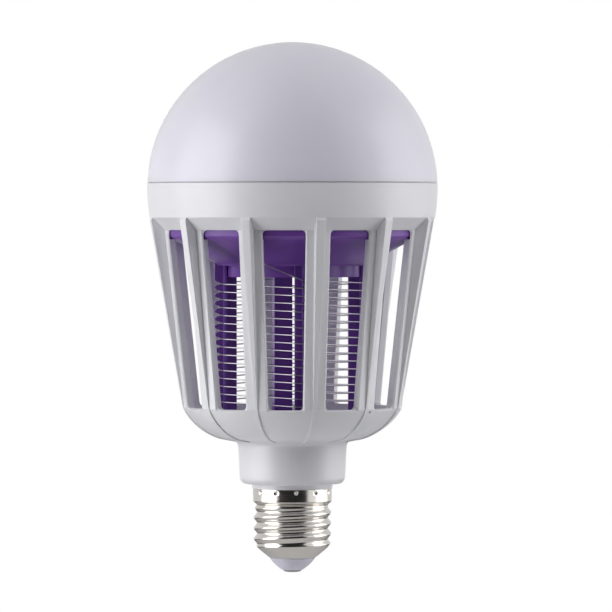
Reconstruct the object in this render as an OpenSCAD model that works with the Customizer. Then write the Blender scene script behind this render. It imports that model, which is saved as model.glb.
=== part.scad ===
// Insect killer light bulb with an E27 screw cap, in millimetres.
// The origin is the tip of the centre contact, +Z runs up the axis to the dome, and the front is -Y.

/* [Screw cap] */
// Diameter over the thread crests
thread_d = 26.3; // [25.6:0.1:26.5]
// Depth of the thread from crest to root
thread_depth = 1.05; // [0.7:0.05:1.3]
// Pitch of the thread
thread_pitch = 3.629; // [3.2:0.001:4.2]
// Length of the threaded stretch
thread_len = 14.2; // [12:0.1:18]
// Diameter of the plain skirt
skirt_d = 26.7; // [26.6:0.1:28]
// Length of the plain skirt
skirt_len = 5.7; // [4.8:0.1:9]
// Height of the shoulder between thread and skirt
shoulder_h = 1.4; // [1:0.1:2]
// Sheet thickness of the shell
shell_wall = 0.4; // [0.3:0.05:0.6]
// Diameter where the thread ends and the shell turns in
shell_shoulder_d = 22.8; // [21:0.1:23.4]
// Height of the inturned end of the shell
shell_end_h = 3.7; // [2.5:0.1:5]
// Diameter of the insulator where it leaves the shell
insulator_d = 15.2; // [13:0.1:17]
// Height of the insulator below the shell
insulator_h = 4.1; // [3:0.1:6]
// Diameter of the centre contact
contact_d = 6.4; // [5:0.1:8]
// Height of the centre contact below the insulator
contact_h = 0.7; // [0.5:0.1:1.5]
// Diameter of the contact's rivet stem
contact_stem_d = 2.4; // [1.8:0.1:3.5]

/* [Neck and bowl] */
// Diameter of the plastic rim that the skirt butts against
cap_rim_d = 27.2; // [26.8:0.1:29]
// Height of that rim
cap_rim_h = 1.6; // [1:0.1:3]
// Gap between the end of the spigot and the shell's shoulder
spigot_gap = 0.3; // [0.1:0.1:1]
// Bore through the spigot
spigot_bore_d = 21.6; // [18:0.1:22.5]
// Diameter at the foot of the neck
neck_base_d = 35.8; // [35:0.1:40]
// Diameter at the top of the neck
neck_top_d = 36.8; // [36:0.1:41]
// Height of the neck up to its fillet
neck_h = 12.5; // [10:0.1:18]
// Radius round the foot of the neck
neck_corner_r = 2.3; // [1:0.1:3]
// Radius of the fillet between neck and bowl
neck_fillet_r = 2.4; // [1:0.1:3]
// Wall of the neck
neck_wall = 2; // [1.5:0.1:2.2]
// Diameter of the bowl's underside, where it starts to round upwards
bowl_base_d = 50; // [48:0.5:54]
// Rise of the underside from the fillet to there
bowl_base_rise = 0.8; // [0.4:0.1:2]
// Height of the rounded side, up to the window sills
bowl_side_h = 10.3; // [9:0.1:14]
// Radius of the rounded side, in section
bowl_side_r = 22; // [18:0.5:30]
// Thickness of the bowl's floor
bowl_floor = 2.3; // [1.8:0.1:3]
// Diameter of the flat inner floor
bowl_flat_d = 48.8; // [48.4:0.1:52]

/* [Cage] */
// Number of ribs, and of windows
rib_count = 12; // [10:1:12]
// Turn of the first rib to the right of the front
rib_phase = 11.5; // [0:0.5:29]
// Diameter of the cage at the window sills
sill_d = 74.8; // [72:0.1:78]
// Height of the windows
window_h = 60; // [50:0.5:70]
// Width of a window at its sill
window_sill_w = 11.6; // [8:0.1:12.5]
// Width of a window at its head
window_head_w = 14.3; // [10:0.1:15]
// Corner radius of a window
window_corner_r = 1.4; // [0.5:0.1:3]
// Width of the bevel round the outside of a window
window_bevel = 0.6; // [0.3:0.1:0.9]
// Thickness of the bars between the windows
bar_wall = 2.8; // [2.2:0.1:3]
// Height of a ridge's crest over the ring's lower edge
ridge_top_h = 0.4; // [0.1:0.1:0.8]
// Height of a ridge's crest over the bars at the sill
ridge_sill_h = 0.5; // [0.3:0.1:1.6]
// Width of a ridge at the ring
ridge_top_w = 3.1; // [2:0.1:5]
// Width of a ridge at the sill and over the bowl
ridge_foot_w = 1.1; // [0.8:0.1:2]
// Height of a ridge over the bowl
ridge_bowl_h = 0.4; // [0.2:0.1:1]
// Height of the bevel under the ring
ring_bevel_h = 4.2; // [3:0.1:5]
// Depth of that bevel, from the ring's lower edge in to the window heads
ring_bevel_in = 4.2; // [3.6:0.1:4.6]
// How far the ring draws in from the seam to its lower edge
ring_draw = 0.85; // [0.3:0.05:1.2]
// Diameter of the ring at the seam
ring_d = 98.5; // [94:0.1:104]
// Height of the ring's band
ring_h = 11.6; // [10:0.1:16]
// Wall of the ring round the dome's skirt
ring_wall = 2.85; // [2.4:0.05:3.2]
// Wall of the cage round the funnel's rim
seat_wall = 1; // [0.8:0.1:1.6]
// Diameter of the weep hole in the bowl
weep_d = 0.8; // [0.5:0.1:1.5]
// Turn of the weep hole to the right of the front
weep_angle = 44.8; // [43:0.1:50]
// Drop of the weep hole below the sills
weep_drop = 0.9; // [0.8:0.1:2]

/* [Dome] */
// Step in from the ring to the dome at the seam
seam_step = 0.07; // [0:0.01:0.3]
// Height of the sphere's centre below the seam
dome_drop = 1.4; // [0:0.1:3]
// Wall of the dome
dome_wall = 2; // [1.5:0.1:2.5]
// Depth of the snap skirt inside the ring
dome_skirt_h = 5.8; // [4:0.1:7]
// Wall of the snap skirt
dome_skirt_wall = 1.8; // [1.4:0.1:2.2]
// Height of the inner flange above the seam
dome_flange_h = 1.8; // [1.2:0.1:3]
// Depth of the shadow groove at the seam
seam_groove = 0.4; // [0.2:0.1:0.6]
// Height of that groove
seam_groove_h = 0.3; // [0.2:0.1:0.6]
// Height of the snap bead
bead_h = 0.35; // [0.2:0.05:0.5]
// Height of the snap bead's groove above the skirt's lower edge
bead_rise = 1.2; // [0.8:0.1:2]

/* [Trap frame] */
// Drop of the funnel's seat below the window heads
funnel_seat_drop = 3.1; // [2:0.1:5]
// Bevel under the rim
funnel_rim_bevel = 1.1; // [0.5:0.1:1.5]
// Width of the rim's flat seat
funnel_seat_w = 2; // [1.6:0.1:2.4]
// Diameter of the funnel at its foot
funnel_foot_d = 52.4; // [51:0.1:54]
// Height of the funnel's cone
funnel_cone_h = 8.3; // [7:0.1:9.5]
// Wall of the funnel
funnel_wall = 1.8; // [1.4:0.1:2.2]
// Diameter of the collar under the funnel
collar_d = 45.4; // [43:0.1:47]
// Depth of the collar
collar_h = 3.9; // [3.4:0.1:5]
// Diameter of the recess for the small board
uv_recess_d = 36.8; // [34:0.1:37]
// Depth of that recess
uv_recess_h = 3.5; // [3:0.1:3.6]
// Turn of the first post to the right of the front
post_phase = 9.5; // [0:0.5:20]
// Radius to the outer edge of a post's blade
post_r = 26.7; // [26:0.1:28]
// Radius to the inner edge of a post's blade
post_inner_r = 19.2; // [18:0.1:20]
// Thickness of a post's blade
post_web_t = 1.3; // [1:0.1:2]
// Radius to the outer face of a post's flange
flange_r = 23.9; // [23:0.1:24.2]
// Thickness of a post's flange
flange_t = 1; // [0.8:0.1:1.4]
// Width of a post's flange
flange_w = 6.2; // [5:0.1:7]
// Depth of the hollow post that carries the mains leads
duct_depth = 5; // [4.8:0.1:6]
// Bore of that post
duct_bore_d = 3.2; // [3:0.1:3.4]
// Diameter of the foot
foot_d = 48; // [46:0.1:48.2]
// Height of the foot
foot_h = 4.8; // [4:0.1:5.5]
// Wall of the foot
foot_wall = 1.8; // [1.4:0.1:2.2]

/* [Wire grid] */
// Diameter of the bare wire
wire_d = 0.46; // [0.3:0.02:0.7]
// Height between neighbouring wires
wire_spacing = 2.66; // [2.4:0.01:3]
// Notches on each post
notch_count = 17; // [12:1:17]
// Height of the first notch above the lowest face of the collar
notch_rise = -0.9; // [-3:0.1:0]
// Radius to the floor of a notch
notch_r = 24.9; // [24.6:0.1:25.5]
// Height of a notch at its floor
notch_w = 0.8; // [0.7:0.05:1.2]
// Gap between a wire and the plastic it lies on
wire_gap = 0.08; // [0.05:0.01:0.2]
// Turn of the feed hole to the left of its post
feed_turn = 30.5; // [20:0.5:38]
// Radius to the feed hole in the funnel
feed_r = 27.3; // [27:0.1:29]

/* [Boards] */
// Thickness of the lamp plate
lamp_plate_t = 1.6; // [1:0.1:2.4]
// Lamps in the outer circle
outer_lamps = 18; // [12:1:20]
// Radius of that circle
outer_lamp_r = 31; // [30:0.5:32]
// Lamps in the inner circle
inner_lamps = 9; // [6:1:10]
// Radius of that circle
inner_lamp_r = 16; // [14:0.5:20]
// Radius to the screws of the lamp plate
plate_screw_r = 37; // [36:0.1:37.5]
// Diameter of the driver board
driver_d = 59; // [56:0.5:60]
// Width of a small lamp
lamp_w = 2.8; // [2:0.1:3]
// Length of a small lamp
lamp_l = 3.5; // [2.8:0.1:4]
// Height of a small lamp
lamp_h = 0.8; // [0.6:0.1:1.2]
// Height of the driver board above the funnel's floor
driver_rise = 4; // [3.8:0.1:5]
// Thickness of the driver board
driver_t = 1.6; // [1:0.1:2]
// Radius to the screws of the driver board
driver_screw_r = 22; // [20:0.5:23]
// Diameter of the small board in the collar
uv_board_d = 36; // [33:0.1:36.4]
// Thickness of that board
uv_board_t = 1; // [0.8:0.1:1.4]
// Number of violet lamps
uv_lamps = 6; // [4:1:8]
// Radius of the circle of violet lamps
uv_lamp_r = 10; // [8:0.5:12]
// Radius to the foot screws
foot_screw_r = 13.5; // [13.4:0.1:14]

/* [Parts on the driver board] */
// Diameter of the electrolytic can
can_d = 8; // [6:0.5:8.5]
// Length of the can
can_l = 12; // [9:0.5:12.5]
// Length of a film capacitor
film_l = 10; // [7:0.5:10.5]
// Width of a film capacitor
film_w = 5; // [4:0.5:6]
// Height of a film capacitor
film_h = 6.4; // [5:0.1:6.6]
// Length of the rectifier's body
rectifier_l = 6; // [4:0.5:6.5]
// Width of the rectifier's body
rectifier_w = 5; // [4:0.5:5.5]
// Diameter of the choke
choke_d = 7; // [5:0.5:7.5]
// Height of the choke
choke_h = 7.4; // [5:0.1:7.8]
// Length of the chip
chip_l = 5; // [4.4:0.1:5.4]
// Width of the chip
chip_w = 4; // [3:0.1:4.2]
// Diameter of a disc capacitor
disc_d = 6; // [4:0.5:6.5]
// Thickness of a disc capacitor
disc_t = 1.8; // [1.4:0.1:2.4]
// Diameter of a high-voltage diode
diode_d = 2.6; // [2:0.1:3]
// Length of a high-voltage diode
diode_l = 5; // [4:0.5:5.5]
// Diameter of a bleed resistor
bleed_d = 2.4; // [1.6:0.1:2.4]
// Length of a bleed resistor
bleed_l = 6.3; // [5:0.1:6.6]
// Diameter of the fusible resistor in the neck
fuse_d = 3.2; // [2.4:0.1:3.6]
// Length of the fusible resistor
fuse_l = 9.6; // [7:0.1:10]

/* [Screws and leads] */
// Thread diameter of the small screws
screw_d = 2; // [1.6:0.1:2.2]
// Head diameter of the small screws
screw_head_d = 4.2; // [3.4:0.1:4.6]
// Head height of the small screws
screw_head_h = 1.4; // [1:0.1:2]
// Depth that a foot screw bites into the cage's floor
foot_screw_bite = 8; // [6:0.5:9]
// Depth that a plate screw bites into its boss
plate_screw_bite = 6; // [4:0.5:7]
// Depth that a board screw bites into its boss
board_screw_bite = 4; // [3:0.5:4.5]
// Outer diameter of the screw bosses
boss_d = 5.2; // [4.6:0.1:5.8]
// Diameter of an insulated mains lead
lead_d = 1.2; // [0.8:0.1:1.3]
// Diameter of the short leads between the boards
thin_lead_d = 1; // [0.6:0.1:1.2]

/* [Clearances] */
// Gap round a piece that slides into another
fit_gap = 0.2; // [0.1:0.05:0.3]
// Gap between a lead's end and what it is soldered to
lead_gap = 0.08; // [0.05:0.01:0.2]
// Gap between a screw and the hole it passes or bites into
screw_gap = 0.1; // [0.05:0.05:0.2]
// Room left in a hole beyond the screw's tip
tip_gap = 0.5; // [0.2:0.1:1]

/* [Hidden] */
$fn = 96;
eps = 0.01;

white_plastic = [0.86, 0.86, 0.89];
violet_plastic = [0.32, 0.18, 0.50];

// Height of the funnel's small toe bevel, over the collar
funnel_toe_h = 0.6;
// Drop of the lamp plate's seat below the ring's lower edge
ledge_drop = 0.2;
// Straight stretch of the ring under the seam
ring_land = 0.8;
// Height of the groove that takes the dome's snap bead
bead_groove_h = 1;
// Height of the insulator inside the shell, and of the rivet's head over it
insulator_plug_h = 2.6;
rivet_head_h = 0.6;
// Height of the fusible resistor over the rivet
resistor_rise = 10.8;
// Lap of pieces of one moulding into each other
lap = 0.4;
// Mean direction square to the bowl's outline
bowl_out = [0.62, -0.78];

// Heights, from the tip of the contact upwards
z_shell = contact_h + insulator_h;
z_thread = z_shell + shell_end_h;
z_skirt = z_thread + thread_len;
z_spigot = z_skirt + shoulder_h + spigot_gap;
z_rim = z_skirt + skirt_len;
z_neck = z_rim + cap_rim_h;
z_fillet = z_neck + neck_h;
z_under = z_fillet + neck_fillet_r;
z_bowl = z_under + bowl_base_rise;
z_sill = z_bowl + bowl_side_h;
z_head = z_sill + window_h;
z_ring = z_head + ring_bevel_h;
z_ridge_foot = z_sill + 1;
z_ridge_top = z_ring - 0.9;
z_seam = z_ring + ring_h;
z_dome = z_seam - dome_drop;
z_floor = z_under + bowl_floor;
z_foot = z_floor + foot_h;
z_seat = z_head - funnel_seat_drop;
z_cone = z_seat - funnel_cone_h;
z_under_funnel = z_cone - funnel_toe_h;
z_collar = z_under_funnel - collar_h;
z_funnel_floor = z_under_funnel + funnel_wall;
z_ledge = z_ring - ledge_drop;
z_driver = z_funnel_floor + driver_rise;
z_bead = z_seam - dome_skirt_h + bead_rise;
z_notch = z_collar + notch_rise;
z_uv = z_collar + uv_recess_h - uv_board_t;
z_parts = z_driver + driver_t;
z_lamps = z_ledge + lamp_plate_t;
z_plug = z_shell + insulator_plug_h;
z_contact_top = z_plug + rivet_head_h;
z_resistor = z_contact_top + resistor_rise;

// Radii
skirt_r = skirt_d / 2;
neck_top_r = neck_top_d / 2;
neck_bore_r = neck_base_d / 2 - neck_wall;
sill_r = sill_d / 2;
ring_low_r = ring_d / 2 - ring_draw;
head_r = ring_low_r - ring_bevel_in;
seat_r = head_r - seat_wall;
rim_r = seat_r - fit_gap;
ring_bore_r = ring_d / 2 - ring_wall;
dome_skirt_r = ring_bore_r - fit_gap;
dome_r = norm([ring_d / 2 - seam_step, dome_drop]);
plate_r = ring_bore_r - fit_gap;
ridge_top_r = ring_low_r + ridge_top_h;
ridge_sill_r = sill_r + ridge_sill_h;
funnel_slope = funnel_cone_h / (rim_r - funnel_seat_w - funnel_foot_d / 2);
duct_r = flange_r - duct_depth / 2 - 0.3;
lead_turn = 2 * wire_spacing;

// Diameters of the holes that a small screw passes and bites into
pass_d = screw_d + 4 * screw_gap;
bite_d = screw_d + 2 * screw_gap;
// Distance of each thin lead from the axis, and the hole for the two of them
lead_offset = 0.9 * thin_lead_d;
lead_hole_d = 4 * thin_lead_d + 2 * fit_gap;

// Radius of the bars' outer face at a height
function bar_r(z) = sill_r + (head_r - sill_r) * (z - z_sill) / window_h;

// Arc from p to q that bulges to the right of the way from p to q
function arc(p, q, r, steps) =
    let (
        d = q - p,
        half = norm(d) / 2,
        mid = (p + q) / 2,
        side = [-d[1], d[0]] / (2 * half),
        centre = mid + side * sqrt(r * r - half * half),
        a = atan2(p[1] - centre[1], p[0] - centre[0]),
        sweep = 2 * asin(half / r)
    )
    [for (i = [0:steps]) centre + r * [cos(a + sweep * i / steps), sin(a + sweep * i / steps)]];

// Points of a quarter turn round a centre
function turn(c, r, a, b, steps) =
    [for (i = [0:steps]) c + r * [cos(a + (b - a) * i / steps), sin(a + (b - a) * i / steps)]];

// Smooth run of points through a list of places
function smooth(p, steps) = [
    for (i = [0:len(p) - 2], s = [0:steps - 1])
        let (
            t = s / steps,
            a = p[max(i - 1, 0)],
            b = p[i],
            c = p[i + 1],
            d = p[min(i + 2, len(p) - 1)]
        )
        0.5 * (2 * b + (c - a) * t + (2 * a - 5 * b + 4 * c - d) * t * t
            + (3 * b - a - 3 * c + d) * t * t * t),
    p[len(p) - 1]
];

function unit(v) = v / norm(v);

// Way of the path at point i
function heading(p, i) =
    unit(p[min(i + 1, len(p) - 1)] - p[max(i - 1, 0)]);

// Round tube along a path, with rings square to its way
module tube(path, d, sides, ref) {
    n = len(path);
    rings = [
        for (i = [0:n - 1])
            let (t = heading(path, i), u = unit(cross(t, ref)), v = cross(t, u))
            for (k = [0:sides - 1])
                path[i] + d / 2 * (u * cos(360 * k / sides) + v * sin(360 * k / sides))
    ];
    sides_faces = [
        for (i = [0:n - 2], k = [0:sides - 1])
            let (a = i * sides + k, b = i * sides + (k + 1) % sides)
            [a, a + sides, b + sides, b]
    ];
    ends = [
        [for (k = [0:sides - 1]) k],
        [for (k = [sides - 1:-1:0]) (n - 1) * sides + k]
    ];
    polyhedron(rings, concat(sides_faces, ends), convexity = 10);
}

// Solid of revolution from points given as radius and height
module turned(points) rotate_extrude() polygon(points);

// Copies turned about the axis, the first at an angle to the right of the front
module round_axis(count, phase) {
    for (i = [0:count - 1]) rotate([0, 0, -90 + phase + 360 * i / count]) children();
}

// The four places of one set of screws, between the posts
module screw_ring(r, z) {
    round_axis(4, post_phase + 45) translate([r, 0, z]) children();
}

// A small cross-slotted screw, its head's underside at the origin, pointing down
module screw(length) {
    slot_l = 0.56 * screw_head_d;
    slot_w = 0.12 * screw_head_d;
    difference() {
        union() {
            cylinder(d = screw_head_d, h = screw_head_h);
            translate([0, 0, -length]) cylinder(d = screw_d, h = length + eps);
        }
        for (a = [0, 90])
            rotate([0, 0, a])
                translate([-slot_l / 2, -slot_w / 2, screw_head_h / 2]) cube([slot_l, slot_w, screw_head_h]);
    }
}

// Outer outline of the bowl from the neck's fillet to the sills, moved out by a distance
function bowl_line(out) = [
    for (p = concat(
        turn([neck_top_r + neck_fillet_r, z_fillet], neck_fillet_r, 180, 90, 4),
        arc([bowl_base_d / 2, z_bowl], [sill_r, z_sill], bowl_side_r, 10)
    ))
    p + out * bowl_out
];

// Whole outer form of the cage, without its ridges
module cage_form() {
    steps = 6;
    turned(concat(
        [
            [0, z_spigot],
            [skirt_r - shell_wall - fit_gap, z_spigot],
            [skirt_r - shell_wall - fit_gap, z_rim],
            [cap_rim_d / 2, z_rim],
            [cap_rim_d / 2, z_neck]
        ],
        turn([neck_base_d / 2 - neck_corner_r, z_neck + neck_corner_r], neck_corner_r, -90, 0, 6),
        bowl_line(0),
        [[head_r, z_head]],
        [
            for (i = [0:steps])
                [
                    ring_d / 2 - ring_draw * pow(1 - i / steps, 2),
                    z_ring + (ring_h - ring_land) * i / steps
                ]
        ],
        [[ring_d / 2, z_seam], [0, z_seam]]
    ));
}

// Hollow of the cage, from the spigot's bore to the seam
module cage_hollow() {
    floor_r = bowl_flat_d / 2;
    seat_bar_r = bar_r(z_seat) - bar_wall;
    turned(concat(
        [
            [0, z_spigot - 1],
            [spigot_bore_d / 2, z_spigot - 1],
            [spigot_bore_d / 2, z_neck + neck_wall],
            [neck_bore_r, z_neck + neck_wall],
            [neck_bore_r, z_floor]
        ],
        arc([floor_r, z_floor], [sill_r - bar_wall, z_sill], bowl_side_r - 8, 8),
        [
            [seat_bar_r, z_seat],
            [seat_r, z_seat],
            [seat_r, z_ledge],
            [ring_bore_r, z_ledge],
            [ring_bore_r, z_bead],
            [ring_bore_r + bead_h, z_bead + bead_h],
            [ring_bore_r + bead_h, z_bead + bead_groove_h],
            [ring_bore_r, z_bead + bead_groove_h + bead_h],
            [ring_bore_r, z_seam + 1],
            [0, z_seam + 1]
        ]
    ));
}

// Outline of a window, its width along X and its height along Y
module window_outline() {
    r = window_corner_r;
    s = window_sill_w / 2;
    h = window_head_w / 2;
    polygon(concat(
        turn([s - r, z_sill + r], r, -90, 0, 4),
        turn([h - r, z_head - r], r, 0, 90, 4),
        turn([r - h, z_head - r], r, 90, 180, 4),
        turn([r - s, z_sill + r], r, 180, 270, 4)
    ));
}

// One ridge: a fin that narrows downwards and runs on over the bowl
module ridge() {
    tip = z_fillet + neck_fillet_r * 0.7;
    tuck = 0.3;
    fin = concat(
        [[neck_top_r, tip]],
        [for (p = bowl_line(ridge_bowl_h)) if (p[1] > tip && p[1] < z_sill - 1) p],
        [
            [ridge_sill_r, z_ridge_foot],
            [ridge_top_r, z_ridge_top],
            [ring_low_r - tuck / 3, z_ring + tuck],
            [seat_r + tuck, z_ring + tuck],
            [sill_r - bar_wall * tuck, z_sill],
            [bowl_base_d / 2, z_bowl + 5 * tuck]
        ]
    );
    intersection() {
        rotate([90, 0, 0]) translate([0, 0, -ridge_top_w / 2])
            linear_extrude(ridge_top_w) polygon(fin);
        rotate([90, 0, 90]) linear_extrude(ring_d)
            polygon([
                [-ridge_foot_w / 2, z_neck],
                [ridge_foot_w / 2, z_neck],
                [ridge_foot_w / 2, z_ridge_foot],
                [ridge_top_w / 2, z_ridge_top],
                [ridge_top_w / 2, z_seam],
                [-ridge_top_w / 2, z_seam],
                [-ridge_top_w / 2, z_ridge_top],
                [-ridge_foot_w / 2, z_ridge_foot]
            ]);
    }
}

// Cutter for the bevel round the outside of a window
module window_bevel_cut() {
    s = window_sill_w / 2;
    h = window_head_w / 2;
    out = 3;
    grow = window_bevel + out;
    near = [[-s, z_sill], [s, z_sill], [h, z_head], [-h, z_head]];
    skin = function (p) bar_r(p[1]) - pow(p[0], 2) / (2 * bar_r(p[1]));
    points = concat(
        [for (p = near) [skin(p) - window_bevel, p[0], p[1]]],
        [
            for (p = near)
                [skin(p) + out, p[0] + sign(p[0]) * grow, p[1] - (p[1] > z_sill ? 0 : grow)]
        ]
    );
    polyhedron(points, [
        [0, 1, 2, 3], [7, 6, 5, 4], [0, 4, 5, 1], [1, 5, 6, 2], [2, 6, 7, 3], [3, 7, 4, 0]
    ]);
}

module cage_body() {
    boss_h = foot_screw_bite + 4 * tip_gap;
    color(white_plastic)
    difference() {
        union() {
            difference() {
                union() {
                    cage_form();
                    round_axis(rib_count, rib_phase) ridge();
                }
                cage_hollow();
                round_axis(rib_count, rib_phase + 180 / rib_count)
                    rotate([90, 0, 90]) linear_extrude(ring_d) window_outline();
                round_axis(rib_count, rib_phase + 180 / rib_count) window_bevel_cut();
            }
            screw_ring(foot_screw_r, z_floor - boss_h) cylinder(d = boss_d, h = boss_h);
        }
        screw_ring(foot_screw_r, z_floor - foot_screw_bite - tip_gap)
            cylinder(d = bite_d, h = foot_screw_bite + tip_gap + lap);
        rotate([0, 0, -90 + weep_angle])
            translate([sill_r, 0, z_sill - weep_drop]) rotate([0, 90, 0])
                cylinder(d = weep_d, h = 4 * bar_wall, center = true);
    }
}

module diffuser_dome() {
    skirt = dome_skirt_r;
    bore = skirt - dome_skirt_wall;
    bead_z = z_bead + bead_h;
    color([0.90, 0.89, 0.94])
    difference() {
        union() {
            intersection() {
                translate([0, 0, z_dome]) sphere(dome_r);
                translate([0, 0, z_seam]) cylinder(r = dome_r + 1, h = dome_r + 1);
            }
            turned([
                [bore - 1, z_seam - dome_skirt_h],
                [skirt, z_seam - dome_skirt_h],
                [skirt, bead_z],
                [skirt + bead_h, bead_z + bead_h / 2],
                [skirt + bead_h, bead_z + bead_h],
                [skirt, bead_z + 2 * bead_h],
                [skirt, z_seam + 0.5],
                [bore - 1, z_seam + 0.5]
            ]);
        }
        intersection() {
            translate([0, 0, z_dome]) sphere(dome_r - dome_wall);
            translate([0, 0, z_seam + dome_flange_h]) cylinder(r = dome_r, h = dome_r);
        }
        translate([0, 0, z_seam - dome_skirt_h - 1])
            cylinder(r = bore, h = dome_skirt_h + 1 + dome_flange_h + eps);
        difference() {
            translate([0, 0, z_seam - 0.1]) cylinder(r = dome_r + 1, h = seam_groove_h + 0.1);
            translate([0, 0, z_seam - 0.2]) cylinder(r = dome_r - seam_groove, h = seam_groove_h + 0.4);
        }
    }
}

// Outer form of the funnel and its collar, filled up to the ledge
module funnel_form() {
    turned([
        [0, z_collar],
        [collar_d / 2, z_collar],
        [collar_d / 2, z_under_funnel],
        [funnel_foot_d / 2 - 0.4, z_under_funnel],
        [funnel_foot_d / 2, z_cone],
        [rim_r - funnel_seat_w, z_seat],
        [rim_r - funnel_rim_bevel, z_seat],
        [rim_r, z_seat + funnel_rim_bevel],
        [rim_r, z_ledge],
        [0, z_ledge]
    ]);
}

module funnel_hollow() {
    top = rim_r - funnel_wall;
    foot = funnel_foot_d / 2 - 1;
    turned([
        [0, z_funnel_floor],
        [foot, z_funnel_floor],
        [top, z_funnel_floor + (top - foot) * funnel_slope],
        [top, z_ledge + 1],
        [0, z_ledge + 1]
    ]);
}

// Height of notch n on post k
function notch_z(k, n) = z_notch - wire_spacing * (n + (k % 2) / 2);

// Points of half a lobe or a whole one between two notches, from angle a down to angle b
function lobe(z, a, b) = [
    for (t = [a:30:b])
        [notch_r + (post_r - notch_r) * cos(t), z - (wire_spacing - notch_w) / 2 * sin(t)]
];

// Blade of post k, with its notched outer edge
module blade(k) {
    half = wire_spacing / 2;
    last = notch_count - 1;
    outline = concat(
        [[post_inner_r, z_foot - lap], [post_inner_r, z_cone + 1], [post_r, z_cone + 1]],
        lobe(notch_z(k, 0) + half, 0, 90),
        [for (n = [0:last - 1]) each lobe(notch_z(k, n) - half, -90, 90)],
        lobe(notch_z(k, last) - half, -90, 0),
        [[post_r, z_foot + 1], [foot_d / 2, z_foot - lap]]
    );
    rotate([90, 0, 0]) translate([0, 0, -post_web_t / 2]) linear_extrude(post_web_t) polygon(outline);
}

module post(k) {
    depth = k == 2 ? duct_depth : flange_t;
    blade(k);
    translate([flange_r - depth, -flange_w / 2, z_foot - lap])
        cube([depth, flange_w, z_cone - z_foot + lap + fit_gap]);
}

module foot() {
    difference() {
        translate([0, 0, z_floor]) cylinder(d = foot_d, h = foot_h);
        translate([0, 0, z_floor - 1]) cylinder(d = foot_d - 2 * foot_wall, h = foot_h + 1 - foot_wall);
    }
    screw_ring(foot_screw_r, z_floor) cylinder(d = boss_d, h = foot_h - eps);
}

module trap_frame() {
    color(violet_plastic)
    difference() {
        union() {
            difference() {
                funnel_form();
                funnel_hollow();
                translate([0, 0, z_collar - 1]) cylinder(d = uv_recess_d, h = uv_recess_h + 1);
            }
            intersection() {
                funnel_form();
                union() {
                    screw_ring(plate_screw_r, z_cone) cylinder(d = boss_d, h = z_ledge);
                    screw_ring(driver_screw_r, z_under_funnel + lap)
                        cylinder(d = boss_d, h = z_driver - z_under_funnel - lap);
                }
            }
            for (k = [0:3]) rotate([0, 0, -90 + post_phase + 90 * k]) post(k);
            foot();
        }
        screw_ring(plate_screw_r, z_ledge - plate_screw_bite - tip_gap)
            cylinder(d = bite_d, h = plate_screw_bite + tip_gap + lap);
        screw_ring(driver_screw_r, z_driver - board_screw_bite - tip_gap)
            cylinder(d = bite_d, h = board_screw_bite + tip_gap + lap);
        screw_ring(foot_screw_r, z_floor - 1) cylinder(d = pass_d, h = foot_h + 2);
        for (a = [0, 180])
            rotate([0, 0, -90 + post_phase - feed_turn + a])
                translate([feed_r, 0, z_under_funnel - lap]) cylinder(d = wire_d + 4 * fit_gap, h = 6);
        rotate([0, 0, 90 + post_phase])
            translate([duct_r, 0, z_floor + 1]) cylinder(d = duct_bore_d, h = z_driver);
        translate([0, 0, z_collar]) cylinder(d = lead_hole_d, h = z_funnel_floor - z_collar + 1);
    }
}

// Place on a post: radius, distance to the right of its blade, turn and height
function on_post(u, v, a, z) =
    [u * sin(a) + v * cos(a), -u * cos(a) + v * sin(a), z];

// Path of one wire: feed, first notch, then round the posts and down
function wire_path(start, quarters) =
    let (
        off = wire_d / 2 + wire_gap,
        a0 = post_phase + start,
        feed = a0 - feed_turn,
        z0 = z_notch,
        edge_v = post_web_t / 2 + off * 0.2,
        corner_u = flange_r + off * 0.85,
        corner_v = flange_w / 2 + off * 0.56,
        drop = lead_turn / 4 * corner_v / (corner_v + corner_u)
    )
    concat(
        [
            on_post(feed_r, 0, feed, z_driver - 0.1),
            on_post(feed_r, 0, feed, z_cone + 1.6),
            on_post(feed_r, 0.15, feed, z_cone + 0.4),
            on_post(feed_r - 0.1, 0.9, feed, z_cone - 0.2)
        ],
        [
            for (j = [0:quarters])
                let (a = a0 + 90 * j, z = z0 - lead_turn * j / 4)
                each concat(
                    j == 0 ? [] : [on_post(corner_u, -corner_v, a, z + drop)],
                    [on_post(notch_r + off, -edge_v, a, z), on_post(notch_r + off, edge_v, a, z)],
                    j == quarters ? [] : [on_post(corner_u, corner_v, a, z - drop)]
                )
        ],
        [on_post(notch_r + off - 0.5, 2, a0 + 90 * quarters, z0 - lead_turn * quarters / 4 - 0.1)]
    );

module grid_wire_live() {
    color([0.72, 0.72, 0.75])
        tube(wire_path(0, 2 * (notch_count - 1)), wire_d, 6, [0.02, 0.01, 1]);
}

module grid_wire_return() {
    color([0.66, 0.66, 0.70])
        tube(wire_path(180, 2 * (notch_count - 1)), wire_d, 6, [0.02, 0.01, 1]);
}

// Radius of the rolled thread's mid line
thread_mid_r = thread_d / 2 - thread_depth / 2;
thread_segments = 36;
thread_rows_per_pitch = 8;
thread_rows = round(thread_len / thread_pitch * thread_rows_per_pitch);
// Lap by which the rolled stretch runs into the plain ends
thread_lap = 0.5;

// How far the thread has risen at a share of its length
function thread_fade(s) =
    let (run = 0.14) s < run ? sin(90 * s / run) : s > 1 - run ? sin(90 * (1 - s) / run) : 1;

// Radius of the thread's sheet at row i and turn a
function thread_r(i, a) =
    let (s = i / thread_rows, z = s * thread_len)
    thread_mid_r - thread_depth / 2 * (1 - thread_fade(s))
        + thread_depth / 2 * thread_fade(s) * cos(360 * (z - 0.9) / thread_pitch - a);

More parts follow.
